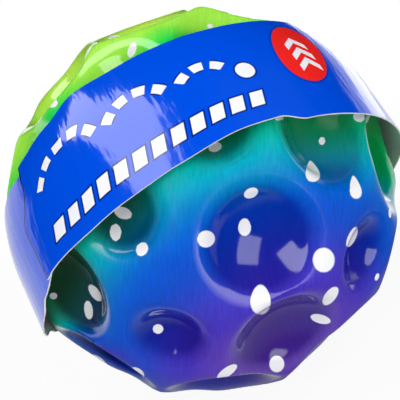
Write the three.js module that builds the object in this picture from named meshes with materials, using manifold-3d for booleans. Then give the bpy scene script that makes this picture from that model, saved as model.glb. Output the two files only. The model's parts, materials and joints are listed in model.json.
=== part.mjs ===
// A foam bouncing ball with craters all over, wearing a printed paper band.
// The ball stands on the rim of its lowest crater. Its skin is in two halves that meet under the band,
// and the band is one strip, wound once round the ball and glued where it laps.
// Millimetres, +Z up, origin at the bottom centre of the whole object's box.

import * as THREE from 'three';
import { mergeVertices } from 'three/addons/utils/BufferGeometryUtils.js';
import Module from 'manifold-3d';

// Ball
const BALL_DIAMETER = 70;
const LARGE_MOUTH = 17.6; // diameter of the circle where the bowl of a large crater would cut the round ball
const LARGE_DEPTH = 4.7; // from the plane of the mouth to the bottom of the bowl
const SMALL_MOUTH = 12;
const SMALL_DEPTH = 3.4;
const SMALL_CRATERS = [5, 8, 17, 20, 21, 34, 37, 41]; // places in the list of craters, each with its opposite
const LIP_RADIUS = 5; // rounding between a bowl and the ball
const CRATER_SPIN = 10; // degrees, turn of the crater layout about Z
const REST_FLAT_DEPTH = 0.3; // how far the rim that the ball stands on is pressed flat

// Skin
const SKIN_THICKNESS = 0.6;
const BOND_GAP = 0.2; // between skin and foam
const SEAM_GAP = 0.3; // between the skin's two halves

// Band
const BAND_WIDTH = 20.6;
const BAND_RISE = 1.3; // middle of the band above the middle of the ball, along the band's axis
const BAND_THICKNESS = 0.25;
const BAND_CLEARANCE = 0.3; // between ball and band
const BAND_TILT = 40; // degrees, band axis away from +Z
const BAND_BEARING = 105; // degrees, the way that the axis leans, from +X towards +Y

// Lap of the band
const LAP_LENGTH = 12;
const LAP_BEARING = 120; // degrees round the band's axis, where the outer layer ends
const LAP_RAMP = 9; // length over which the strip climbs onto its own start
const GLUE_THICKNESS = 0.12;
const GLUE_CLEARANCE = 0.1; // between the glue and each layer of paper
const GLUE_END_MARGIN = 2.5; // bare paper between the glue and each end of the lap
const GLUE_EDGE_MARGIN = 2; // bare paper above and below the glue

// Fineness of the surfaces
const SPOKES_PER_SIDE = 2; // spokes of a crater for each neighbouring crater
const BOWL_RING_SHARE = 0.55; // place of the ring inside each bowl
const LIP_RING_SHARE = 0.45; // place of the ring on each lip
const CROWDED_RING_SHARES = [0.45, 0.7, 0.82, 0.93]; // rings where lips of neighbours would meet
const BAND_STEP = 6; // degrees
const HUG_STEPS = 4; // steps up the part of the band that follows the ball
const WELD = 1e-4; // corners closer than this are one corner

const BALL_RADIUS = BALL_DIAMETER / 2;
const LARGE = { mouth: LARGE_MOUTH / 2, depth: LARGE_DEPTH };
const SMALL = { mouth: SMALL_MOUTH / 2, depth: SMALL_DEPTH };
const BAND_INNER_RADIUS = BALL_RADIUS + BAND_CLEARANCE;
const BAND_BOTTOM = BAND_RISE - BAND_WIDTH / 2;
const BAND_TOP = BAND_RISE + BAND_WIDTH / 2;
const LAP_CLIMB = BAND_THICKNESS + GLUE_THICKNESS + 2 * GLUE_CLEARANCE;
const CUTTER_SIZE = 4 * BALL_DIAMETER;

const degrees = THREE.MathUtils.degToRad;
const wasm = await Module();
wasm.setup();

// Solids for cutting, and back again

function toSolid(geometry) {
  const bare = geometry.clone();
  bare.deleteAttribute('normal');
  bare.deleteAttribute('uv');
  const closed = mergeVertices(bare, WELD);
  return new wasm.Manifold(new wasm.Mesh({
    numProp: 3,
    vertProperties: new Float32Array(closed.attributes.position.array),
    triVerts: new Uint32Array(closed.index.array),
  }));
}

function toGeometry(solid) {
  const mesh = solid.getMesh();
  const geometry = new THREE.BufferGeometry();
  geometry.setAttribute('position', new THREE.BufferAttribute(new Float32Array(mesh.vertProperties), 3));
  geometry.setIndex(new THREE.BufferAttribute(new Uint32Array(mesh.triVerts), 1));
  geometry.computeVertexNormals();
  return geometry;
}

function fromTriangles(corners) {
  const geometry = new THREE.BufferGeometry().setFromPoints(corners);
  const closed = mergeVertices(geometry, WELD);
  closed.computeVertexNormals();
  return closed;
}

// Craters: one at each corner and each edge middle of an icosahedron that has an edge middle on +Z

function craterDirections() {
  const golden = (1 + Math.sqrt(5)) / 2;
  const edge = 2;
  const corners = [];
  for (const a of [-1, 1]) {
    for (const b of [-golden, golden]) {
      corners.push(new THREE.Vector3(a, 0, b), new THREE.Vector3(b, a, 0), new THREE.Vector3(0, b, a));
    }
  }
  const middles = [];
  corners.forEach((corner, i) => {
    for (const other of corners.slice(i + 1)) {
      if (corner.distanceTo(other) < 1.1 * edge) middles.push(corner.clone().add(other));
    }
  });
  const up = new THREE.Vector3(0, 0, 1);
  return [...corners, ...middles].map((d) => d.normalize().applyAxisAngle(up, degrees(CRATER_SPIN)));
}

// How far one crater presses the surface in, against the angle from its axis: a round bowl with a round lip.
// An inset layer runs parallel to the outside: the ball shrinks, the bowls grow and the lips tighten.

function craterProfile({ mouth, depth }, inset) {
  const bowlOutside = (mouth ** 2 + depth ** 2) / (2 * depth);
  const bowlCentre = Math.sqrt(BALL_RADIUS ** 2 - mouth ** 2) - depth + bowlOutside;
  const ball = BALL_RADIUS - inset;
  const bowl = bowlOutside + inset;
  const lip = LIP_RADIUS - inset;
  const lipCentre = BALL_RADIUS - LIP_RADIUS;
  const lipEnd = Math.acos(
    (lipCentre ** 2 + bowlCentre ** 2 - (bowl + lip) ** 2) / (2 * bowlCentre * lipCentre),
  );
  const touch = bowl / (bowl + lip); // the lip meets the bowl on the line between their centres
  const bowlEnd = Math.atan2(
    touch * lipCentre * Math.sin(lipEnd),
    bowlCentre + touch * (lipCentre * Math.cos(lipEnd) - bowlCentre),
  );
  const depthAt = (angle) => {
    if (angle >= lipEnd) return 0;
    if (angle > bowlEnd) {
      const away = lipEnd - angle;
      return ball - lipCentre * Math.cos(away) - Math.sqrt(lip ** 2 - (lipCentre * Math.sin(away)) ** 2);
    }
    return ball - bowlCentre * Math.cos(angle) + Math.sqrt(bowl ** 2 - (bowlCentre * Math.sin(angle)) ** 2);
  };
  return { bowlEnd, lipEnd, depthAt };
}

// Each crater owns the patch of ball that is nearer to it than to its neighbours.
// The patch's spokes run from the crater's axis to even points along the patch's border.

function craterSpokes(axis, directions) {
  const reach = degrees(45);
  const neighbours = directions.filter((d) => d !== axis && d.angleTo(axis) < reach);
  const east = neighbours[0].clone().cross(axis).normalize();
  const north = axis.clone().cross(east);
  const bearing = (d) => Math.atan2(d.dot(north), d.dot(east));
  neighbours.sort((a, b) => bearing(a) - bearing(b));
  const corners = neighbours.map((d, i) => {
    const next = neighbours[(i + 1) % neighbours.length];
    return d.clone().sub(axis).cross(next.clone().sub(axis)).normalize();
  });
  const border = [];
  corners.forEach((corner, i) => {
    const next = corners[(i + 1) % corners.length];
    for (let s = 0; s < SPOKES_PER_SIDE; s += 1) {
      border.push(corner.clone().lerp(next, s / SPOKES_PER_SIDE).normalize());
    }
  });
  return border;
}

// Where the lips of neighbouring craters meet, their depths join into one round crest

function ballSurface(inset) {
  const directions = craterDirections();
  const craters = directions.map((axis, i) => ({ axis, size: SMALL_CRATERS.includes(i) ? SMALL : LARGE }));
  const pressed = craters.map(({ axis, size }) => ({ axis, depthAt: craterProfile(size, inset).depthAt }));
  const place = (direction) => {
    const depths = pressed.map(({ axis, depthAt }) => depthAt(direction.angleTo(axis)));
    return direction.clone().multiplyScalar(BALL_RADIUS - inset - Math.hypot(...depths));
  };
  const triangles = [];
  for (const { axis, size } of craters) {
    const { bowlEnd, lipEnd } = craterProfile(size, 0);
    const lipRing = THREE.MathUtils.lerp(bowlEnd, lipEnd, LIP_RING_SHARE);
    const rings = [BOWL_RING_SHARE * bowlEnd, bowlEnd, lipRing, lipEnd];
    const spokes = craterSpokes(axis, directions).map((borderPoint) => {
      const span = borderPoint.angleTo(axis);
      const outward = borderPoint.clone().addScaledVector(axis, -Math.cos(span)).normalize();
      const points = rings.map((ring, k) => {
        const angle = Math.min(ring, CROWDED_RING_SHARES[k] * span);
        const alongAxis = axis.clone().multiplyScalar(Math.cos(angle));
        return place(alongAxis.addScaledVector(outward, Math.sin(angle)));
      });
      return [...points, place(borderPoint)];
    });
    const bottom = place(axis);
    spokes.forEach((spoke, i) => {
      const next = spokes[(i + 1) % spokes.length];
      triangles.push(bottom, spoke[0], next[0]);
      for (let k = 0; k + 1 < spoke.length; k += 1) {
        triangles.push(spoke[k], spoke[k + 1], next[k + 1]);
        triangles.push(spoke[k], next[k + 1], next[k]);
      }
    });
  }
  return fromTriangles(triangles);
}

// The band's own frame: local Z is the band's axis, through the middle of the ball

function bandFrame() {
  const frame = new THREE.Group();
  frame.rotation.set(0, degrees(BAND_TILT), degrees(BAND_BEARING), 'ZYX');
  frame.updateMatrix();
  return frame;
}

// A block that reaches up from the given height on the band's axis

function blockAlongBand(height) {
  const block = new THREE.BoxGeometry(CUTTER_SIZE, CUTTER_SIZE, CUTTER_SIZE);
  block.translate(0, 0, height + CUTTER_SIZE / 2);
  return toSolid(block.applyMatrix4(bandFrame().matrix));
}

function makeSkins() {
  const outside = ballSurface(0);
  outside.computeBoundingBox();
  const restHeight = outside.boundingBox.min.z + REST_FLAT_DEPTH;
  const floor = new THREE.BoxGeometry(CUTTER_SIZE, CUTTER_SIZE, CUTTER_SIZE);
  floor.translate(0, 0, restHeight - CUTTER_SIZE / 2);
  const shell = toSolid(outside).subtract(toSolid(floor)).subtract(toSolid(ballSurface(SKIN_THICKNESS)));
  const upper = shell.intersect(blockAlongBand(BAND_RISE + SEAM_GAP / 2));
  const lower = shell.subtract(blockAlongBand(BAND_RISE - SEAM_GAP / 2));
  return { upper: toGeometry(upper), lower: toGeometry(lower) };
}

// A strip wound about local Z. Each station has a turn and a climb away from the ball.
// heights and radii give the inside of the strip from its bottom edge to its top edge.

function woundStrip(stations, heights, radii, thickness) {
  const sections = stations.map(({ turn, climb }) => {
    const place = (radius, height) => new THREE.Vector3(
      (radius + climb) * Math.cos(turn),
      (radius + climb) * Math.sin(turn),
      height,
    );
    const inside = heights.map((height, k) => place(radii[k], height));
    const outside = heights.map((height, k) => place(radii[k] + thickness, height));
    return [...inside, ...outside.reverse()];
  });
  const triangles = [];
  const count = 2 * heights.length;
  for (let i = 0; i + 1 < sections.length; i += 1) {
    for (let k = 0; k < count; k += 1) {
      const [a, b] = [sections[i][k], sections[i][(k + 1) % count]];
      const [c, d] = [sections[i + 1][k], sections[i + 1][(k + 1) % count]];
      triangles.push(a, b, d, a, d, c);
    }
  }
  const last = sections[sections.length - 1];
  for (let k = 0; k + 1 < heights.length; k += 1) {
    const far = count - 1 - k;
    const [first] = sections;
    triangles.push(first[k], first[far], first[far - 1], first[k], first[far - 1], first[k + 1]);
    triangles.push(last[k], last[far - 1], last[far], last[k], last[k + 1], last[far - 1]);
  }
  return fromTriangles(triangles);
}

// Inside of the band: straight below the middle of the ball, following the ball above it,
// so that it sits close at its top edge and lifts off freely

function bandInside(bottom, top) {
  const heights = [bottom];
  const hugStart = Math.max(bottom, 0);
  if (hugStart > bottom) heights.push(hugStart);
  for (let k = 1; k <= HUG_STEPS; k += 1) heights.push(THREE.MathUtils.lerp(hugStart, top, k / HUG_STEPS));
  const radii = heights.map((height) => Math.sqrt(BAND_INNER_RADIUS ** 2 - Math.max(height, 0) ** 2));
  return { heights, radii };
}

const turnOf = (length) => length / BAND_INNER_RADIUS;

function makeBand() {
  const step = degrees(BAND_STEP);
  const start = degrees(LAP_BEARING);
  const lapEnd = turnOf(LAP_LENGTH);
  const rampStart = lapEnd + step;
  const rampEnd = rampStart + turnOf(LAP_RAMP);
  const end = 2 * Math.PI + lapEnd;
  const turns = [];
  for (let turn = 0; turn < end - step / 2; turn += step) turns.push(turn);
  turns.push(end);
  const stations = turns.map((turn) => ({
    turn: start + turn,
    climb: LAP_CLIMB * (1 - THREE.MathUtils.smoothstep(turn, rampStart, rampEnd)),
  }));
  const { heights, radii } = bandInside(BAND_BOTTOM, BAND_TOP);
  return woundStrip(stations, heights, radii, BAND_THICKNESS);
}

function makeLapGlue() {
  const middle = degrees(LAP_BEARING) + turnOf(LAP_LENGTH) / 2;
  const half = turnOf(LAP_LENGTH) / 2 - turnOf(GLUE_END_MARGIN);
  const climb = BAND_THICKNESS + GLUE_CLEARANCE;
  const stations = [-half, 0, half].map((turn) => ({ turn: middle + turn, climb }));
  const { heights, radii } = bandInside(BAND_BOTTOM + GLUE_EDGE_MARGIN, BAND_TOP - GLUE_EDGE_MARGIN);
  return woundStrip(stations, heights, radii, GLUE_THICKNESS);
}

// Materials

const foam = new THREE.MeshStandardMaterial({ color: 0xf0e6c8, roughness: 0.9, metalness: 0 });
const greenPrint = new THREE.MeshStandardMaterial({ color: 0x58cf3c, roughness: 0.3, metalness: 0 });
const bluePrint = new THREE.MeshStandardMaterial({ color: 0x1a5fd2, roughness: 0.3, metalness: 0 });
const coatedPaper = new THREE.MeshStandardMaterial({ color: 0x0055e1, roughness: 0.25, metalness: 0 });
const adhesive = new THREE.MeshStandardMaterial({ color: 0xe9e2b8, roughness: 0.6, metalness: 0 });

// Assembly

function named(name, geometry, material) {
  const mesh = new THREE.Mesh(geometry, material);
  mesh.name = name;
  return mesh;
}

const skins = makeSkins();
const ball = new THREE.Group();
ball.add(named('foam_core', ballSurface(SKIN_THICKNESS + BOND_GAP), foam));
ball.add(named('upper_skin', skins.upper, greenPrint));
ball.add(named('lower_skin', skins.lower, bluePrint));

const wrap = bandFrame();
wrap.add(named('band', makeBand(), coatedPaper));
wrap.add(named('lap_glue', makeLapGlue(), adhesive));

const object = new THREE.Group();
object.add(ball, wrap);

// The origin is at the bottom centre of the object's box
const box = new THREE.Box3().setFromObject(object, true);
const middle = box.getCenter(new THREE.Vector3());
object.position.set(-middle.x, -middle.y, -box.min.z);

export default object;
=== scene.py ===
import json
import math

import bpy
import numpy as np
from mathutils import Matrix, Vector


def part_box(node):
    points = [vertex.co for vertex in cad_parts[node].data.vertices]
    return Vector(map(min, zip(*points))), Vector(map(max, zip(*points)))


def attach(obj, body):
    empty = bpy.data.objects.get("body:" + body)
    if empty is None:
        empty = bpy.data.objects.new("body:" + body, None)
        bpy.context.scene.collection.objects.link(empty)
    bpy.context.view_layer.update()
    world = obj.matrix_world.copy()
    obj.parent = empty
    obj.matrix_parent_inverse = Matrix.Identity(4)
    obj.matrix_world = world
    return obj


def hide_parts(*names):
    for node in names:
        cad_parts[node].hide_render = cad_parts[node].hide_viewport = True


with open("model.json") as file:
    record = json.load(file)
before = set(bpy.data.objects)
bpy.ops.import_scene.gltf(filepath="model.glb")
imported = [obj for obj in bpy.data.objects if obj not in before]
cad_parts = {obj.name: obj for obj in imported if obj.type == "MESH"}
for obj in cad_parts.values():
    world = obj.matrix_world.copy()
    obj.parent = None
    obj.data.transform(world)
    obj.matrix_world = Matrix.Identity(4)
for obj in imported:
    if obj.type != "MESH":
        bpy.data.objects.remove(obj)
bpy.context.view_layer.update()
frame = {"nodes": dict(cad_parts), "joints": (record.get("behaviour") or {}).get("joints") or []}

# Camera
# The view of the photograph: a short telephoto lens about 150 mm from the ball, a little above it,
# rolled so that the band runs uphill to the right.
MM = 0.001
PHOTO_SIDE = 400  # pixels
SENSOR = 36.0
NEAR_CLIP = 10 * MM
VIEW_DISTANCE = 151.9 * MM
VIEW_RISE = math.radians(15)
VIEW_ROLL = math.radians(-19.44)
FOCAL_LENGTH = 831  # pixels
PHOTO_MIDDLE = (203.5, 200.4)  # pixel on which the middle of the ball lies

core_low, core_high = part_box("foam_core")
ball_centre = (core_low + core_high) / 2
view_turn = Matrix.Rotation(math.pi / 2 - VIEW_RISE, 3, "X") @ Matrix.Rotation(VIEW_ROLL, 3, "Z")
view_from = Vector((0, -math.cos(VIEW_RISE), math.sin(VIEW_RISE)))
bpy.ops.object.camera_add(location=ball_centre + VIEW_DISTANCE * view_from, rotation=view_turn.to_euler())
camera = bpy.context.object
camera.data.sensor_width = SENSOR
camera.data.lens = SENSOR * FOCAL_LENGTH / PHOTO_SIDE
camera.data.shift_x = 0.5 - PHOTO_MIDDLE[0] / PHOTO_SIDE
camera.data.shift_y = PHOTO_MIDDLE[1] / PHOTO_SIDE - 0.5
camera.data.clip_start = NEAR_CLIP
bpy.context.scene.camera = camera


# Foam core
# The ball's body, one moulding of springy foam with fine open cells and 42 bowl-shaped craters.
# It is cast whole, so it has no seam, and the skin is bonded to it all over.
BALL_RADIUS = 35 * MM
LARGE_CRATER = (8.8 * MM, 4.7 * MM)  # radius of the circle where the bowl cuts the round ball, and depth
SMALL_CRATER = (6.0 * MM, 3.4 * MM)
SMALL_CRATERS = (5, 8, 17, 20, 21, 34, 37, 41)  # places in the list of axes, each with its opposite
LIP_RADIUS = 5.0 * MM
CRATER_REACH = math.radians(30)
CRATER_SPIN = math.radians(10)
SHARED_EDGE = 2.2  # corners of the icosahedron that are closer than this share an edge, which is 2 long
CORE_INSET = 0.8 * MM
CORE_FINENESS = 6
FOAM_COLOUR = (0.80, 0.70, 0.46, 1)
FOAM_SHADE = (0.62, 0.50, 0.28, 1)
FOAM_ROUGHNESS = 0.9
FOAM_RELIEF = 0.2 * MM
CELLS_PER_METRE = 900
CELL_WALLS = (0.1, 0.6)  # distances from the middle of a cell between which its wall rises
GRAIN_PER_METRE = 2600
GRAIN_SHARE = 0.3  # of the grain in the relief


def crater_axes():
    """Directions of the craters: the corners and edge middles of an icosahedron, one of them straight up."""
    golden = (1 + math.sqrt(5)) / 2
    corners = []
    for a in (-1, 1):
        for b in (-golden, golden):
            corners += [Vector((a, 0, b)), Vector((b, a, 0)), Vector((0, b, a))]
    middles = []
    for i, corner in enumerate(corners):
        middles += [corner + other for other in corners[i + 1:] if (corner - other).length < SHARED_EDGE]
    spin = Matrix.Rotation(CRATER_SPIN, 3, "Z")
    return np.array([spin @ axis.normalized() for axis in corners + middles])


CRATERS = crater_axes()


def crater_depth(angle, size, inset):
    """How far one crater presses the layer in, at each angle from its axis: a bowl with a round lip."""
    mouth, depth = size
    bowl_outside = (mouth ** 2 + depth ** 2) / (2 * depth)
    centre = math.sqrt(BALL_RADIUS ** 2 - mouth ** 2) - depth + bowl_outside
    bowl = bowl_outside + inset
    lip = LIP_RADIUS - inset
    lip_centre = BALL_RADIUS - LIP_RADIUS
    lip_end = math.acos((lip_centre ** 2 + centre ** 2 - (bowl + lip) ** 2) / (2 * centre * lip_centre))
    touch = bowl / (bowl + lip)
    touch_height = centre + touch * (lip_centre * math.cos(lip_end) - centre)
    bowl_end = math.atan2(touch * lip_centre * math.sin(lip_end), touch_height)
    away = np.maximum(lip_end - angle, 0)
    on_lip = lip_centre * np.cos(away) + np.sqrt(np.maximum(lip ** 2 - (lip_centre * np.sin(away)) ** 2, 0))
    in_bowl = centre * np.cos(angle) - np.sqrt(np.maximum(bowl ** 2 - (centre * np.sin(angle)) ** 2, 0))
    return BALL_RADIUS - inset - np.where(angle > bowl_end, on_lip, in_bowl)


def layer_radius(directions, inset):
    """Distance from the middle of the ball, along each direction, to the layer this far inside its surface.
    Where the lips of neighbouring craters meet, their depths join into one round crest."""
    squares = np.zeros(len(directions))
    for i, axis in enumerate(CRATERS):
        size = SMALL_CRATER if i in SMALL_CRATERS else LARGE_CRATER
        angle = np.arccos(np.clip(directions @ axis, -1, 1))
        near = angle < CRATER_REACH
        squares[near] += crater_depth(angle[near], size, inset) ** 2
    return BALL_RADIUS - inset - np.sqrt(squares)


def corners_of(piece):
    """The piece's vertices as rows of x, y and z."""
    places = np.empty(3 * len(piece.data.vertices))
    piece.data.vertices.foreach_get("co", places)
    return places.reshape(-1, 3)


def move_corners(piece, places):
    piece.data.vertices.foreach_set("co", places.ravel())
    piece.data.update()


def round_ball(name, fineness):
    """An ico sphere of the ball's size, centred on the origin."""
    bpy.ops.object.select_all(action="DESELECT")
    bpy.ops.mesh.primitive_ico_sphere_add(subdivisions=fineness, radius=BALL_RADIUS)
    ball = bpy.context.object
    ball.name = name
    return ball


def press_craters(ball, inset):
    """Draws each corner of a round ball in to the cratered layer, moves the ball to its place and flattens
    the rim that it stands on."""
    directions = corners_of(ball)
    directions /= np.linalg.norm(directions, axis=1)[:, None]
    places = directions * layer_radius(directions, inset)[:, None] + np.array(ball_centre)
    places[:, 2] = np.maximum(places[:, 2], inset)
    move_corners(ball, places)


class Ink:
    """A value in a material's nodes. Arithmetic on it adds Math nodes, and node() adds any other node."""

    def __init__(self, tree, socket=None):
        self.tree = tree
        self.socket = socket

    def node(self, kind, settings=None, inputs=None, output=0):
        made = self.tree.nodes.new("ShaderNode" + kind)
        for name, value in (settings or {}).items():
            if name == "stops":
                ramp = made.color_ramp.elements
                while len(ramp) < len(value):
                    ramp.new(1)
                for stop, (place, colour) in zip(ramp, value):
                    stop.position = place
                    stop.color = colour
            else:
                setattr(made, name, value)
        for name, value in (inputs or {}).items():
            if isinstance(value, Ink):
                self.tree.links.new(value.socket, made.inputs[name])
            else:
                made.inputs[name].default_value = value
        return Ink(self.tree, made.outputs[output] if made.outputs else None)

    def math(self, operation, *values):
        return self.node("Math", {"operation": operation}, dict(enumerate(values)))

    def vector(self, operation, *values, output=0):
        return self.node("VectorMath", {"operation": operation}, dict(enumerate(values)), output)

    def __add__(self, other):
        return self.math("ADD", self, other)

    __radd__ = __add__

    def __sub__(self, other):
        return self.math("SUBTRACT", self, other)

    def __rsub__(self, other):
        return self.math("SUBTRACT", other, self)

    def __mul__(self, other):
        return self.math("MULTIPLY", self, other)

    __rmul__ = __mul__

    def __truediv__(self, other):
        return self.math("DIVIDE", self, other)

    def __pow__(self, other):
        return self.math("POWER", self, other)

    def __lt__(self, other):
        return self.math("LESS_THAN", self, other)

    def __gt__(self, other):
        return self.math("GREATER_THAN", self, other)

    def __abs__(self):
        return self.math("ABSOLUTE", self)

    def above(self, start, end):
        """0 below start, 1 above end and a smooth rise between them."""
        settings = {"interpolation_type": "SMOOTHSTEP"}
        return self.node("MapRange", settings, {"Value": self, "From Min": start, "From Max": end})

    def mix(self, mask, below, above):
        """One colour laid over another where the mask is 1."""
        return self.node("Mix", {"data_type": "RGBA"}, {0: mask, 6: below, 7: above}, 2)

    def scaled(self, colour, factor):
        """A colour made lighter or darker."""
        return self.node("VectorMath", {"operation": "SCALE"}, {0: colour, "Scale": factor})

    def noise(self, place, scale, detail=2.0):
        return self.node("TexNoise", inputs={"Vector": place, "Scale": scale, "Detail": detail})

    def relief(self, height, depth, strength):
        """Bumps of this depth."""
        return self.node("Bump", inputs={"Strength": strength, "Distance": depth, "Height": height})

    def attribute(self, name):
        return self.node("Attribute", {"attribute_name": name}, output="Fac")


def new_material(name):
    """An empty material and the Ink that fills it."""
    material = bpy.data.materials.new(name)
    material.use_nodes = True
    material.node_tree.nodes.clear()
    return material, Ink(material.node_tree)


def dress(ink, inputs):
    """Ends a material in one surface shader with these inputs."""
    surface = ink.node("BsdfPrincipled", inputs=inputs)
    ink.node("OutputMaterial", inputs={"Surface": surface})


foam, ink = new_material("springy_foam")
place = ink.node("TexCoord", output="Object")
cells = ink.node("TexVoronoi", inputs={"Vector": place, "Scale": CELLS_PER_METRE})
grain = ink.noise(place, GRAIN_PER_METRE, detail=3.0)
walls = cells.above(*CELL_WALLS)
colour = ink.mix(walls * grain, FOAM_SHADE, FOAM_COLOUR)
bumps = ink.relief(walls + GRAIN_SHARE * grain, FOAM_RELIEF, strength=0.6)
dress(ink, {"Base Color": colour, "Roughness": FOAM_ROUGHNESS, "Normal": bumps})

core = round_ball("foam_body", CORE_FINENESS)
press_craters(core, CORE_INSET)
bpy.ops.object.shade_smooth()
core.data.materials.append(foam)
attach(core, "ball")
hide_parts("foam_core")


# Skin
# A printed stretch skin, drawn over the foam in two halves that meet under the band, and bonded to it.
# Its print fades from yellow-green through blue to purple, with white spots. Fine knit lines show through,
# and the bowls are glossy while the crests are rubbed dull. Shade is painted into the print's colour,
# deeper in the bowls and darker still beside the band's lower edge on the left, as its shadow.
SKIN_THICKNESS = 0.6 * MM
SEAM_GAP = 0.3 * MM
SEAM_RISE = 1.3 * MM  # seam above the middle of the ball, along the band's axis
SKIN_FINENESS = 7
LIP_FROM = math.radians(11.3)  # angles from a crater's axis between which the mesh is finer, for its lip
LIP_TO = math.radians(15.6)
SHARP_EDGE = math.radians(50)
BAND_AXIS = Vector(frame["joints"][0]["axis"]).normalized()
BAND_WIDTH = 20.6 * MM
BAND_BOTTOM = SEAM_RISE - BAND_WIDTH / 2
BAND_TOP = SEAM_RISE + BAND_WIDTH / 2

# Colours of the print, at heights in mm on the round ball, from its middle along the way that it fades
FADE = [
    (-35, (98, 58, 167)), (-33.5, (92, 62, 175)), (-31.5, (69, 50, 180)), (-29.5, (62, 58, 184)),
    (-28, (44, 64, 186)), (-26, (18, 73, 190)), (-24, (6, 81, 196)), (-22.5, (4, 93, 198)),
    (-20.8, (4, 113, 190)), (-19.3, (4, 132, 186)), (-17.5, (4, 158, 184)), (-15.5, (4, 168, 164)),
    (-12, (0, 168, 114)), (0, (0, 190, 80)), (7.3, (24, 205, 76)), (9.8, (104, 220, 68)),
    (11.8, (152, 226, 72)), (35, (190, 230, 80)),
]
FADE_AXIS = (view_turn @ Vector((-0.377, 0.738, -0.560))).normalized()
FADE_BEND = 10  # mm by which the fade runs ahead at the lower left
FADE_BEND_FALLS = (0.58, 0.72)  # shares of the radius downwards between which the bend sets in
FADE_BEND_SIDES = (0.25, 0.55)  # and the angles to the left
CLOUDS_PER_METRE = 60
CLOUD_SWAY = 2.4  # mm, unevenness of the fade
KNIT_WIDTH = 0.36 * MM  # width of one light or dark line of the knit
KNIT_RUN = 2.5 * MM  # how far one knit line runs before the next one takes its place
KNIT_RELIEF = 0.02 * MM
SKIN_GRAIN_PER_METRE = 3500
SKIN_GRAIN_CONTRAST = 0.1
SKIN_GRAIN_SHARE = 0.2  # of the grain in the relief
SKIN_GRAIN_ROUGHNESS = 0.04

# White spots as the photograph shows them: middle, width and height in pixels, clockwise turn in degrees,
# and how much narrower the spot is at its top
SEEN_SPOTS = [
    (51, 102, 14, 11, 20, 0), (132, 50, 8, 16, 20, 0), (115, 31, 6, 5, 0, 0), (158, 17, 20, 7, -12, 0),
    (251, 13, 18, 6, 12, 0), (210, 26, 7, 5, 0, 0), (215, 147, 14, 10, -15, 0), (279, 118, 8, 5, -20, 0),
    (359, 117, 12, 10, 20, 0), (322, 141, 7, 9, 0, 0), (312, 171, 13, 22, -12, 0.5),
    (355, 187, 11, 24, -10, 0.5), (251, 193, 15, 10, -25, 0), (123, 213, 19, 12, 20, 0),
    (115.5, 232.5, 12, 18, 0, 0), (142, 249, 12, 15, 30, 0), (95, 293, 9, 20, -35, 0),
    (88.5, 310, 9, 19, -8, 0), (53.5, 296, 8, 7, 0, 0), (158, 329, 11, 10, 0, 0), (87, 354, 5, 11, 0, 0),
    (137, 373, 16, 10, 30, 0), (187, 390, 12, 7, 10, 0), (206, 239, 18, 17, -20, 0),
    (244.6, 227, 13, 18, 0, 0.1), (323.7, 260, 22, 25, 0, 0), (260.5, 299.5, 20, 30, 0, 0.18),
    (352, 237, 8, 22, 25, 0), (330.5, 296, 11, 22, 38, 0), (320.5, 319, 21, 9, 15, 0),
    (276.8, 364, 15, 17, 0, 0), (227, 372, 24, 9, -35, 0), (242.3, 385.7, 13, 5, -28, 0),
    (390, 213, 3, 10, 0, 0), (377, 277, 4, 8, 20, 0),
]
NARROWEST = 0.1  # least share of its width that a tapered spot keeps
HIDDEN_SPOTS = 118
SPOT_SEED = 7
SPOT_HEIGHT_SWAY = 0.004  # how far chance moves a hidden spot up or down, as a share of the radius
SPOT_TURN_SWAY = 0.08  # and round the ball, in radians
SPOT_HALVES = (1.1, 1.9)  # mm, range of half the length of a hidden spot
SPOT_ROUNDNESS = (0.6, 0.95)  # range of its width as a share of its length
SEEN_FROM = -0.12  # cosine of the angle between outward and the camera, down to which a spot counts as seen
SPOT_CAP = 0.8  # share of the radius above which a place lies on the same side of the ball as a spot
FAR_FROM_SPOTS = 9.0  # value of the field of spots where there is none
SPOT_EDGE = (0.86, 1.12)  # values between which the white ends
SPOT_WHITE = (0.84, 0.84, 0.87, 1)

HOLLOW_SHADE_DEPTHS = (0.3 * MM, 2.5 * MM)  # depths between which the painted shade in a crater deepens
GLOSSY_DEPTHS = (0.25 * MM, 0.8 * MM)  # depths between which the rubbed crests turn into glossy bowls
CREST_ROUGHNESS = 0.34
BOWL_ROUGHNESS = 0.10
SKIN_IOR = 1.18
BAND_SHADE = 0.75  # how much darker the craters beside the band's lower edge are, on the left
BAND_SHADE_RISES = (-26 * MM, -14 * MM)
BAND_SHADE_SIDES = (0.0, 0.5)
BAND_FOOT_RISES = (-19 * MM, -13 * MM)  # close under its left end the crests lie in its shade too
BAND_FOOT_SIDES = (0.62, 0.8)
# Share of painted shade in a crater, as the print's colour squared, tint of the gloss, contrast of the knit
# lines
UPPER_FINISH = (0.0, (1, 1, 1, 1), 0.3)
LOWER_FINISH = (0.7, (0.8, 0.62, 1, 1), 0.55)


def off_crater(directions):
    """Angle from each direction to the axis of its nearest crater."""
    return np.arccos(np.clip((directions @ CRATERS.T).max(axis=1), -1, 1))


def edit_faces(piece, operator, chosen=None, **settings):
    """Runs one edit mode operator on the chosen faces, or on all of them."""
    bpy.ops.object.select_all(action="DESELECT")
    piece.select_set(True)
    bpy.context.view_layer.objects.active = piece
    bpy.ops.object.mode_set(mode="EDIT")
    bpy.ops.mesh.select_mode(type="FACE")
    bpy.ops.mesh.select_all(action="SELECT" if chosen is None else "DESELECT")
    if chosen is not None:
        bpy.ops.object.mode_set(mode="OBJECT")
        piece.data.polygons.foreach_set("select", chosen)
        bpy.ops.object.mode_set(mode="EDIT")
    operator(**settings)
    bpy.ops.object.mode_set(mode="OBJECT")


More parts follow.
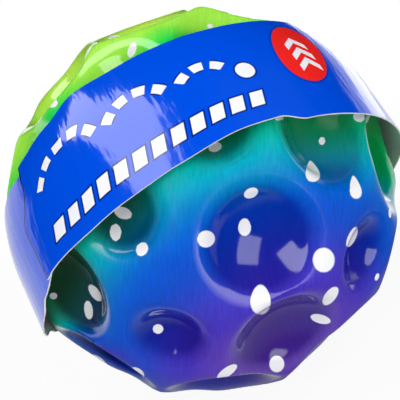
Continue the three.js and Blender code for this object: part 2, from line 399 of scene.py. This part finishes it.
def in_photo(places):
    """Columns and rows of the photograph on which these places lie, and whether they face the camera."""
    seen = (places - np.array(camera.location)) @ np.array(view_turn)
    columns = PHOTO_MIDDLE[0] - FOCAL_LENGTH * seen[:, 0] / seen[:, 2]
    rows = PHOTO_MIDDLE[1] + FOCAL_LENGTH * seen[:, 1] / seen[:, 2]
    outward = places - np.array(ball_centre)
    facing = ((np.array(camera.location) - places) * outward).sum(axis=1) > 0
    return columns, rows, facing


def seen_spot_field(places):
    """Square of the distance to the nearest spot of the photograph, with 1 on its outline."""
    columns, rows, facing = in_photo(places)
    field = np.full(len(places), FAR_FROM_SPOTS)
    for column, row, width, height, turn, taper in SEEN_SPOTS:
        cosine = math.cos(math.radians(turn))
        sine = math.sin(math.radians(turn))
        across = ((columns - column) * cosine + (rows - row) * sine) / (width / 2)
        down = ((rows - row) * cosine - (columns - column) * sine) / (height / 2)
        across /= np.maximum(1 + taper * down, NARROWEST)
        field = np.where(facing, np.minimum(field, across ** 2 + down ** 2), field)
    return field


def hidden_spot_field(places):
    """The same for spots that the photograph doesn't show, spread evenly over the rest of the ball."""
    chance = np.random.default_rng(SPOT_SEED)
    field = np.full(len(places), FAR_FROM_SPOTS)
    golden_turn = math.pi * (3 - math.sqrt(5))
    middle = np.array(ball_centre)
    for i in range(HIDDEN_SPOTS):
        height = 1 - (2 * i + 1) / HIDDEN_SPOTS + chance.uniform(-SPOT_HEIGHT_SWAY, SPOT_HEIGHT_SWAY)
        turn = i * golden_turn + chance.uniform(-SPOT_TURN_SWAY, SPOT_TURN_SWAY)
        long_half = chance.uniform(*SPOT_HALVES) * MM
        short_half = long_half * chance.uniform(*SPOT_ROUNDNESS)
        lean = chance.uniform(0, math.pi)
        across = math.sqrt(max(1 - height ** 2, 0))
        direction = Vector((across * math.cos(turn), across * math.sin(turn), height))
        along_band = BALL_RADIUS * direction.dot(BAND_AXIS)
        under_band = BAND_BOTTOM + long_half < along_band < BAND_TOP - long_half
        spot = ball_centre + BALL_RADIUS * direction
        seen = direction.dot((camera.location - spot).normalized()) > SEEN_FROM
        if seen and not under_band:
            continue
        side = direction.orthogonal().normalized()
        first = side * math.cos(lean) + direction.cross(side) * math.sin(lean)
        second = direction.cross(first)
        offset = places - np.array(spot)
        near = (places - middle) @ np.array(direction) > SPOT_CAP * BALL_RADIUS
        square = (offset @ np.array(first) / long_half) ** 2 + (offset @ np.array(second) / short_half) ** 2
        field = np.where(near, np.minimum(field, square), field)
    return field


def rise(values, start, end):
    """0 at start, 1 at end and a smooth change between them."""
    share = np.clip((values - start) / (end - start), 0, 1)
    return share * share * (3 - 2 * share)


def hollow_fields(places):
    """How deep in its crater each place is, as painted shade and for the gloss, and the band's painted
    shadow.
    """
    outward = places - np.array(ball_centre)
    depth = BALL_RADIUS - np.linalg.norm(outward, axis=1)
    height = outward @ np.array(BAND_AXIS)
    leftward = -(outward @ np.array(view_turn.col[0])) / BALL_RADIUS
    hollow = rise(depth, *HOLLOW_SHADE_DEPTHS)
    polish = rise(depth, *GLOSSY_DEPTHS)
    # painted shadow of the band, beside its lower edge on the left
    beside = (height < 0) * rise(height, *BAND_SHADE_RISES) * rise(leftward, *BAND_SHADE_SIDES)
    foot = rise(height, *BAND_FOOT_RISES) * rise(leftward, *BAND_FOOT_SIDES)
    return hollow, polish, BAND_SHADE * np.maximum(hollow, foot) * beside


def screen_colour(red, green, blue):
    """A screen's colour, 0 to 255, turned by the sRGB curve into the values that materials take."""
    linear = [((c / 255 + 0.055) / 1.055) ** 2.4 if c > 10 else c / 255 / 12.92 for c in (red, green, blue)]
    return (*linear, 1)


def printed_skin(name, hollow_shade_share, gloss_tint, knit_contrast):
    """Glossy print on stretch knit, whose lines run upright in the photograph."""
    material, ink = new_material(name)
    place = ink.node("TexCoord", output="Object")
    radial = ink.vector("NORMALIZE", ink.vector("SUBTRACT", place, ball_centre))
    height = ink.vector("DOT_PRODUCT", radial, FADE_AXIS, output="Value")
    upwards = ink.vector("DOT_PRODUCT", radial, view_turn.col[1], output="Value")
    sideways = ink.math("ARCSINE", ink.vector("DOT_PRODUCT", radial, view_turn.col[0], output="Value"))
    cloud = ink.noise(place, CLOUDS_PER_METRE)
    bend = FADE_BEND * (-1 * upwards).above(*FADE_BEND_FALLS) * (-1 * sideways).above(*FADE_BEND_SIDES)
    level = height * (BALL_RADIUS / MM) - bend + CLOUD_SWAY * (cloud - 0.5)
    lowest = FADE[0][0]
    span = FADE[-1][0] - lowest
    stops = [((h - lowest) / span, screen_colour(*c)) for h, c in FADE]
    colour = ink.node("ValToRGB", {"stops": stops}, {"Fac": (level - lowest) / span})
    lines = {"X": sideways * (BALL_RADIUS / KNIT_WIDTH), "Y": upwards * (BALL_RADIUS / KNIT_RUN)}
    knit = ink.noise(ink.node("CombineXYZ", inputs=lines), 1.0)
    grain = ink.noise(place, SKIN_GRAIN_PER_METRE, detail=1.0)
    # painted shade in the bowls: the print's colour squared, laid in as the crater deepens
    hollow_shade_colour = ink.vector("MULTIPLY", colour, colour)
    colour = ink.mix(ink.attribute("hollow") * hollow_shade_share, colour, hollow_shade_colour)
    texture = 1 + knit_contrast * (knit - 0.5) + SKIN_GRAIN_CONTRAST * (grain - 0.5)
    # the band's painted shadow darkens the print, along with the knit and grain
    inked_and_shaded = ink.scaled(colour, texture * (1 - ink.attribute("band_shade")))
    colour = ink.mix(1 - ink.attribute("spot_field").above(*SPOT_EDGE), inked_and_shaded, SPOT_WHITE)
    polish = ink.attribute("polish")
    roughness = CREST_ROUGHNESS + (BOWL_ROUGHNESS - CREST_ROUGHNESS) * polish
    dress(ink, {
        "Base Color": colour,
        "Roughness": roughness + SKIN_GRAIN_ROUGHNESS * grain,
        "IOR": SKIN_IOR,
        "Specular Tint": gloss_tint,
        "Coat Weight": polish,
        "Coat Roughness": BOWL_ROUGHNESS,
        "Normal": ink.relief(knit + SKIN_GRAIN_SHARE * grain, KNIT_RELIEF, strength=0.3),
    })
    return material


whole_skin = round_ball("whole_skin", SKIN_FINENESS)
face_middles = np.empty(3 * len(whole_skin.data.polygons))
whole_skin.data.polygons.foreach_get("center", face_middles)
face_middles = face_middles.reshape(-1, 3)
off_axis = off_crater(face_middles / np.linalg.norm(face_middles, axis=1)[:, None])
on_lips = (off_axis > LIP_FROM) & (off_axis < LIP_TO)
edit_faces(whole_skin, bpy.ops.mesh.subdivide, on_lips, number_cuts=1)
press_craters(whole_skin, 0)
skin_places = corners_of(whole_skin)
spot_field = np.minimum(seen_spot_field(skin_places), hidden_spot_field(skin_places))
hollow, polish, band_shade = hollow_fields(skin_places)
fields = {"spot_field": spot_field, "hollow": hollow, "polish": polish, "band_shade": band_shade}
for name, values in fields.items():
    attribute = whole_skin.data.attributes.new(name, "FLOAT", "POINT")
    attribute.data.foreach_set("value", values)

for name, node, slot, side, finish in [
    ("skin_upper_half", "upper_skin", "green_print", 1, UPPER_FINISH),
    ("skin_lower_half", "lower_skin", "blue_print", -1, LOWER_FINISH),
]:
    half = whole_skin.copy()
    half.data = whole_skin.data.copy()
    half.name = name
    bpy.context.scene.collection.objects.link(half)
    seam = ball_centre + (SEAM_RISE + side * SEAM_GAP / 2) * BAND_AXIS
    edit_faces(half, bpy.ops.mesh.bisect, plane_co=seam, plane_no=side * BAND_AXIS, clear_inner=True)
    wall = half.modifiers.new("wall", "SOLIDIFY")
    wall.thickness = SKIN_THICKNESS
    wall.offset = -1
    bpy.ops.object.modifier_apply(modifier=wall.name)
    bpy.ops.object.shade_smooth_by_angle(angle=SHARP_EDGE)
    half.data.materials.append(printed_skin(slot, *finish))
    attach(half, "ball")
    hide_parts(node)
bpy.data.objects.remove(whole_skin)


# Band
# One strip of coated paper, die-cut to its length, printed blue on its glossy outside and left white inside.
# It is wound once round the ball and lapped: straight below the ball's middle, following the ball above it.
BAND_BEARING = math.radians(105)
BAND_TILT = math.radians(40)
BAND_INNER_RADIUS = 35.3 * MM
PAPER_THICKNESS = 0.25 * MM
LAP_LENGTH = 12 * MM
LAP_BEARING = math.radians(120)
LAP_STEP = math.radians(6)
LAP_RAMP = 9 * MM
LAP_CLIMB = 0.57 * MM
BAND_STEPS = 520
BAND_ROWS = 24
STRIP_TURN = 2 * math.pi + LAP_LENGTH / BAND_INNER_RADIUS
STRIP_LENGTH = STRIP_TURN * BAND_INNER_RADIUS
# The strip was wound by hand and its edges waver: bearing in degrees, heights of the two edges in mm
EDGES = [
    (60, -5.0, 11.0), (72, -7.0, 10.6), (84, -9.8, 10.0), (94, -11.0, 9.6), (104, -11.2, 9.3),
    (110, -10.0, 9.3), (118, -9.4, 9.3), (124, -9.1, 9.5), (138, -9.5, 10.4), (148, -9.4, 12.0),
    (164, -8.9, 11.6), (180, -8.3, 11.4), (190, -8.5, 11.1), (197, -10.0, 11.1), (215, -10.3, 11.3),
    (240, -10.4, 11.6), (300, -9.0, 11.6), (400, -8.5, 11.2), (420, -5.0, 11.0),
]
INNER_LAYER_TRIM = 0.8  # how much narrower the layer inside the lap is on each edge, in mm
CUT_WAVE = math.radians(3)  # swing of the outer cut end, as a wave between two heights
CUT_WAVE_HEIGHTS = (-1 * MM, 5 * MM)
CUT_WAVE_REACH = math.radians(15)

# Print, in mm along the strip and above its middle
PRINT_REPEAT = 112.0
STROKE_SOFTNESS = 0.06
OUTLINE = 0.28  # width of the dark line round each white mark
HOP_START = 4.5
HOP_GROUND = -1.8
HOP_RADII = (7.4, 6.0, 4.8)
HOP_FLATNESS = 0.92
HOP_HALF = 0.85  # half the width of the dashed line
DASH_PITCH = 3.1
DASH_ENDS = (0.3, 0.5)  # levels of a wave along the line, between which a dash ends
BALL_AHEAD = 1.6  # printed ball, ahead of the last hop's end and above the ground
BALL_LIFT = 1.2
BALL_HALF = 1.5
ROW_START = 4.8  # row of blocks under the hops
ROW_END = 43.2
ROW_HEIGHT = -6.2
BLOCK_PITCH = 3.2
BLOCK_HALVES = (1.05, 1.3)
BLOCK_SLANT = 0.3
BADGE_MIDDLE = (54.4, 2.1)
BADGE_HALVES = (4.8, 6.5)
BADGE_LEAN = math.radians(28)
BADGE_EDGE = (0.98, 1.01)  # as shares of its halves
BADGE_RIM = (1.0, 1.1)
BADGE_RIM_SHADE = 0.7
CHEVRON_LIFTS = (2.5, 0.3, -1.9)
CHEVRON_SLOPE = 0.7
CHEVRON_HALF = 0.6
CHEVRON_REACH = 2.2
CUT_SHADE_WIDTH = 0.3  # width of the fine painted shade line along the cut end
BAND_BLUE = screen_colour(0, 74, 214)
BAND_NAVY = screen_colour(0, 34, 120)
PRINT_WHITE = screen_colour(232, 234, 242)
BADGE_RED = screen_colour(236, 38, 34)
CUT_SHADE = screen_colour(10, 16, 60)

PAPER_WHITE = (0.80, 0.80, 0.78)
PAPER_IOR = 1.6
PAPER_ROUGHNESS = 0.08
FIBRES_PER_METRE = 300
FIBRE_ROUGHNESS = 0.04
FIBRE_SHARE = 0.06  # of the fibres in the relief
CREASE_PITCH = 2.4  # mm along the strip from one fine crease to the next
CREASE_RUN = 9.0
CREASE_RELIEF = 0.12 * MM
BARE_FIBRES_PER_METRE = 900
BARE_DARKEST = 0.94  # brightness between the fibres of the bare side, and how much the fibres add
BARE_FIBRE_LIGHT = 0.1
BARE_RELIEF = 0.05 * MM
BARE_ROUGHNESS = 0.75

band_turn = Matrix.Rotation(BAND_BEARING, 3, "Z") @ Matrix.Rotation(BAND_TILT, 3, "Y")


def lap_climb(turns):
    """How far the strip stands off its usual radius, on top of its own end at the lap."""
    start = LAP_LENGTH / BAND_INNER_RADIUS + LAP_STEP
    return LAP_CLIMB * (1 - rise(turns, start, start + LAP_RAMP / BAND_INNER_RADIUS))


def between(values, places, levels):
    """Levels given at these places, eased from each place to the next."""
    total = np.full(len(values), levels[0])
    for start, end, step in zip(places, places[1:], np.diff(levels)):
        total += step * rise(values, start, end)
    return total


def stroke(distance, half_width):
    """1 within half_width of a line, with a soft edge."""
    return 1 - distance.above(half_width - STROKE_SOFTNESS, half_width + STROKE_SOFTNESS)


bpy.ops.object.select_all(action="DESELECT")
bpy.ops.mesh.primitive_grid_add(x_subdivisions=BAND_STEPS, y_subdivisions=BAND_ROWS, size=1)
band = bpy.context.object
band.name = "paper_band"
flat = corners_of(band)
turns = (flat[:, 0] + 0.5) * STRIP_TURN
edge_bearings, low_edges, high_edges = np.array(EDGES).T
bearings = edge_bearings[0] + (np.degrees(LAP_BEARING + turns) - edge_bearings[0]) % 360
trim = INNER_LAYER_TRIM * rise(turns, 2 * math.pi - LAP_STEP, 2 * math.pi)
lower_edge = between(bearings, edge_bearings, low_edges) + trim
upper_edge = between(bearings, edge_bearings, high_edges) - trim
heights = (lower_edge + (flat[:, 1] + 0.5) * (upper_edge - lower_edge)) * MM
turns += CUT_WAVE * (2 * rise(heights, *CUT_WAVE_HEIGHTS) - 1) * (1 - rise(turns, 0, CUT_WAVE_REACH))
radii = np.sqrt(BAND_INNER_RADIUS ** 2 - np.maximum(heights, 0) ** 2) + PAPER_THICKNESS + lap_climb(turns)
wound = np.column_stack([
    radii * np.cos(LAP_BEARING + turns),
    radii * np.sin(LAP_BEARING + turns),
    heights,
])
move_corners(band, wound @ np.array(band_turn).T + np.array(ball_centre))

printed, ink = new_material("printed_paper")
uv = ink.node("TexCoord", output="UV")
from_cut = ink.node("SeparateXYZ", inputs={0: uv}) * (STRIP_LENGTH / MM)
along = ink.math("MODULO", from_cut, PRINT_REPEAT)
up = ink.node("SeparateXYZ", inputs={0: uv}, output=1) * (BAND_WIDTH / MM) - BAND_WIDTH / MM / 2

white_marks = []  # distance to the edge of each mark, and where the mark is kept
start = HOP_START
for radius in HOP_RADII:
    sideways = along - (start + radius)
    lift = (up - HOP_GROUND) / HOP_FLATNESS
    distance = abs(ink.math("SQRT", sideways ** 2 + lift ** 2) - radius)
    turn = ink.math("ARCTAN2", lift, sideways)
    dashes = round(math.pi * radius / DASH_PITCH)
    dash = 1 - ink.math("COSINE", turn * (2 * dashes)).above(*DASH_ENDS)
    white_marks.append((distance - HOP_HALF, dash * (lift > radius * math.sin(math.pi / dashes))))
    start += 2 * radius
ball_across = along - (start + BALL_AHEAD)
ball_up = up - HOP_GROUND - BALL_LIFT
white_marks.append((ink.math("SQRT", ball_across ** 2 + ball_up ** 2) - BALL_HALF, 1.0))
slanted = along - BLOCK_SLANT * (up - ROW_HEIGHT)
block_across = abs(ink.math("WRAP", slanted, BLOCK_PITCH / 2, -BLOCK_PITCH / 2)) - BLOCK_HALVES[0]
block = ink.math("MAXIMUM", block_across, abs(up - ROW_HEIGHT) - BLOCK_HALVES[1])
white_marks.append((block, (slanted > ROW_START) * (slanted < ROW_END)))
mask = 0
outline = 0
for distance, kept in white_marks:
    outline = ink.math("MAXIMUM", outline, stroke(distance, OUTLINE) * kept)
    mask = ink.math("MAXIMUM", mask, stroke(distance, 0.0) * kept)
colour = ink.mix(mask, ink.mix(outline, BAND_BLUE, BAND_NAVY), PRINT_WHITE)
badge_along = along - BADGE_MIDDLE[0]
badge_up = up - BADGE_MIDDLE[1]
badge_across = (badge_along * math.cos(BADGE_LEAN) - badge_up * math.sin(BADGE_LEAN)) / BADGE_HALVES[0]
badge_down = (badge_along * math.sin(BADGE_LEAN) + badge_up * math.cos(BADGE_LEAN)) / BADGE_HALVES[1]
badge = ink.math("SQRT", badge_across ** 2 + badge_down ** 2)
colour = ink.mix(BADGE_RIM_SHADE * (1 - badge.above(*BADGE_RIM)), colour, BAND_NAVY)
colour = ink.mix(1 - badge.above(*BADGE_EDGE), colour, BADGE_RED)
for lift in CHEVRON_LIFTS:
    chevron = abs(badge_up - lift + CHEVRON_SLOPE * abs(badge_along))
    within = stroke(abs(badge_along), CHEVRON_REACH)
    colour = ink.mix(stroke(chevron, CHEVRON_HALF) * within, colour, PRINT_WHITE)
# painted shade along the outer layer's cut end, where it lies over the lap
colour = ink.mix(stroke(from_cut, CUT_SHADE_WIDTH), colour, CUT_SHADE)
fibre = ink.noise(ink.node("TexCoord", output="Object"), FIBRES_PER_METRE)
across = ink.node("CombineXYZ", inputs={"X": along * (1 / CREASE_PITCH), "Y": up * (1 / CREASE_RUN)})
creases = ink.noise(across, 1.0, detail=3.0)
dress(ink, {
    "Base Color": colour,
    "Roughness": PAPER_ROUGHNESS + FIBRE_ROUGHNESS * fibre,
    "IOR": PAPER_IOR,
    "Normal": ink.relief(FIBRE_SHARE * fibre + creases, CREASE_RELIEF, strength=1.0),
})

bare, ink = new_material("bare_paper")
fibre = ink.noise(ink.node("TexCoord", output="Object"), BARE_FIBRES_PER_METRE)
tone = ink.scaled(PAPER_WHITE, BARE_DARKEST + BARE_FIBRE_LIGHT * fibre)
relief = ink.relief(fibre, BARE_RELIEF, strength=0.3)
dress(ink, {"Base Color": tone, "Roughness": BARE_ROUGHNESS, "Normal": relief})

band.data.materials.append(printed)
band.data.materials.append(bare)
wall = band.modifiers.new("wall", "SOLIDIFY")
wall.thickness = PAPER_THICKNESS
wall.offset = -1
wall.material_offset = 1
wall.material_offset_rim = 1
bpy.ops.object.modifier_apply(modifier=wall.name)
bpy.ops.object.shade_smooth_by_angle(angle=SHARP_EDGE)
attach(band, "sleeve")
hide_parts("band")


# Lap glue
# A strip of pale dried adhesive between the two layers of the lap, thin as the paper itself.
# It is rolled on before the band is closed, and it holds the band for good.
GLUE_COLOUR = (0.74, 0.68, 0.40)
GLUE_DARKEST = 0.85  # brightness between the ripples, and how much the ripples add
RIPPLE_LIGHT = 0.3
GLUE_ROUGHNESS = 0.35
RIPPLE_ROUGHNESS = 0.2
GLUE_RELIEF = 0.1 * MM
RIPPLES_PER_METRE = 500

adhesive, ink = new_material("dried_adhesive")
ripple = ink.noise(ink.node("TexCoord", output="Object"), RIPPLES_PER_METRE)
tone = ink.scaled(GLUE_COLOUR, GLUE_DARKEST + RIPPLE_LIGHT * ripple)
roughness = GLUE_ROUGHNESS + RIPPLE_ROUGHNESS * ripple
relief = ink.relief(ripple, GLUE_RELIEF, strength=0.4)
dress(ink, {"Base Color": tone, "Roughness": roughness, "Normal": relief})
glue = frame["nodes"]["lap_glue"]
glue.data.materials.clear()
glue.data.materials.append(adhesive)


# Floor and light
# A white table under the ball and a white sweep behind it, which keep a faint shadow, in a dark studio with
# softboxes high on the left, on each side of the camera, and behind the ball on the right. A fill from the
# ceiling on the right lights the print without being mirrored in it.
WHITE = (1, 1, 1, 1)
FLOOR_COLOUR = (0.9, 0.9, 0.9, 1)
FLOOR_SIDE = 3.0
FLOOR_GLOW = 0.93
FAR_FLOOR = (0.10, 0.22)  # distances between which the floor fades to plain white
TABLE_EDGE = (0.032, 0.050)  # distances between which the mirrored table ends
TABLE_GLOW = 0.35  # brightness of the mirrored table, which lies in the shade of the ball
NOT_MIRRORED = 0.001  # brightness below which the floor lets mirrored rays through to the lamps
SWEEP_FOOT = (0.0, 0.05)  # distances behind the ball between which the mirrored sweep starts
SWEEP_TOP = (0.16, 0.24)  # rises between which the mirrored sweep ends
SWEEP_SIDES = (0.34, 0.42)
AMBIENT = 0.06
SOFTBOX_DISTANCE = 0.45
# Direction to the right, up and towards the camera; width, height and roll in degrees; brightness;
# and whether the glossy print mirrors it
SOFTBOXES = {
    "high_softbox": ((-0.69, 0.635, 0.35), 50, 24, 5, 4.2, True),
    "ceiling_fill": ((0.50, 0.72, 0.48), 45, 45, 0, 1.8, False),
    "left_softbox": ((-0.42, 0.08, 0.86), 31, 31, 42, 4.6, True),
    "right_softbox": ((0.60, -0.05, 0.79), 34, 40, -8, 3.6, True),
    "back_softbox": ((0.28, 0.34, -0.90), 50, 26, 0, 1.6, True),
}


def rays(ink, *kinds):
    """1 for rays of any of these kinds."""
    found = 0
    for kind in kinds:
        found = ink.math("MAXIMUM", found, ink.node("LightPath", output=f"Is {kind} Ray"))
    return found


bpy.ops.object.select_all(action="DESELECT")
bpy.ops.mesh.primitive_plane_add(size=FLOOR_SIDE)
floor = bpy.context.object
floor.name = "floor"
white_floor, ink = new_material("white_floor")
place = ink.node("TexCoord", output="Object")
distance = ink.vector("LENGTH", place, output="Value")
behind = ink.node("SeparateXYZ", inputs={0: place}, output="Y").above(*SWEEP_FOOT)
mirrored = ink.math("MAXIMUM", TABLE_GLOW * (1 - distance.above(*TABLE_EDGE)), behind)
seen = rays(ink, "Camera", "Transmission")
glossy = rays(ink, "Glossy")
shown = seen * (FLOOR_GLOW + (1 - FLOOR_GLOW) * distance.above(*FAR_FLOOR)) + glossy
matt = ink.node("BsdfDiffuse", inputs={"Color": FLOOR_COLOUR})
glow = ink.node("Emission", inputs={"Color": WHITE, "Strength": ink.math("MAXIMUM", seen, mirrored)})
surface = ink.node("MixShader", inputs={0: shown, 1: matt, 2: glow})
clear = ink.node("BsdfTransparent")
surface = ink.node("MixShader", inputs={0: glossy * (mirrored < NOT_MIRRORED), 1: surface, 2: clear})
ink.node("OutputMaterial", inputs={"Surface": surface})
floor.data.materials.append(white_floor)

for name, (direction, width, height, roll, brightness, is_mirrored) in SOFTBOXES.items():
    towards = (view_turn @ Vector(direction)).normalized()
    bpy.ops.object.light_add(type="AREA", location=ball_centre + SOFTBOX_DISTANCE * towards)
    lamp = bpy.context.object
    lamp.name = name
    across = view_turn.col[1].cross(towards).normalized()
    upright = Matrix((across, towards.cross(across), towards)).transposed()
    lamp.rotation_euler = (upright @ Matrix.Rotation(math.radians(roll), 3, "Z")).to_euler()
    lamp.visible_camera = False
    lamp.visible_glossy = is_mirrored
    lamp.data.shape = "RECTANGLE"
    lamp.data.size = 2 * SOFTBOX_DISTANCE * math.tan(math.radians(width / 2))
    lamp.data.size_y = 2 * SOFTBOX_DISTANCE * math.tan(math.radians(height / 2))
    lamp.data.energy = brightness * math.pi * lamp.data.size * lamp.data.size_y

world = bpy.data.worlds.new("studio")
bpy.context.scene.world = world
world.use_nodes = True
world.node_tree.nodes.clear()
ink = Ink(world.node_tree)
direction = ink.node("TexCoord", output="Generated")
backwards = ink.node("SeparateXYZ", inputs={0: direction}, output="Y")
upwards = ink.node("SeparateXYZ", inputs={0: direction}, output="Z")
sweep = backwards.above(*SWEEP_SIDES) * (1 - upwards.above(*SWEEP_TOP))
seen = rays(ink, "Camera", "Transmission")
glossy = rays(ink, "Glossy")
strength = seen + glossy * sweep + AMBIENT * (1 - seen - glossy)
background = ink.node("Background", inputs={"Color": WHITE, "Strength": strength})
ink.node("OutputWorld", inputs={"Surface": background})

bpy.context.scene.view_settings.view_transform = "Standard"
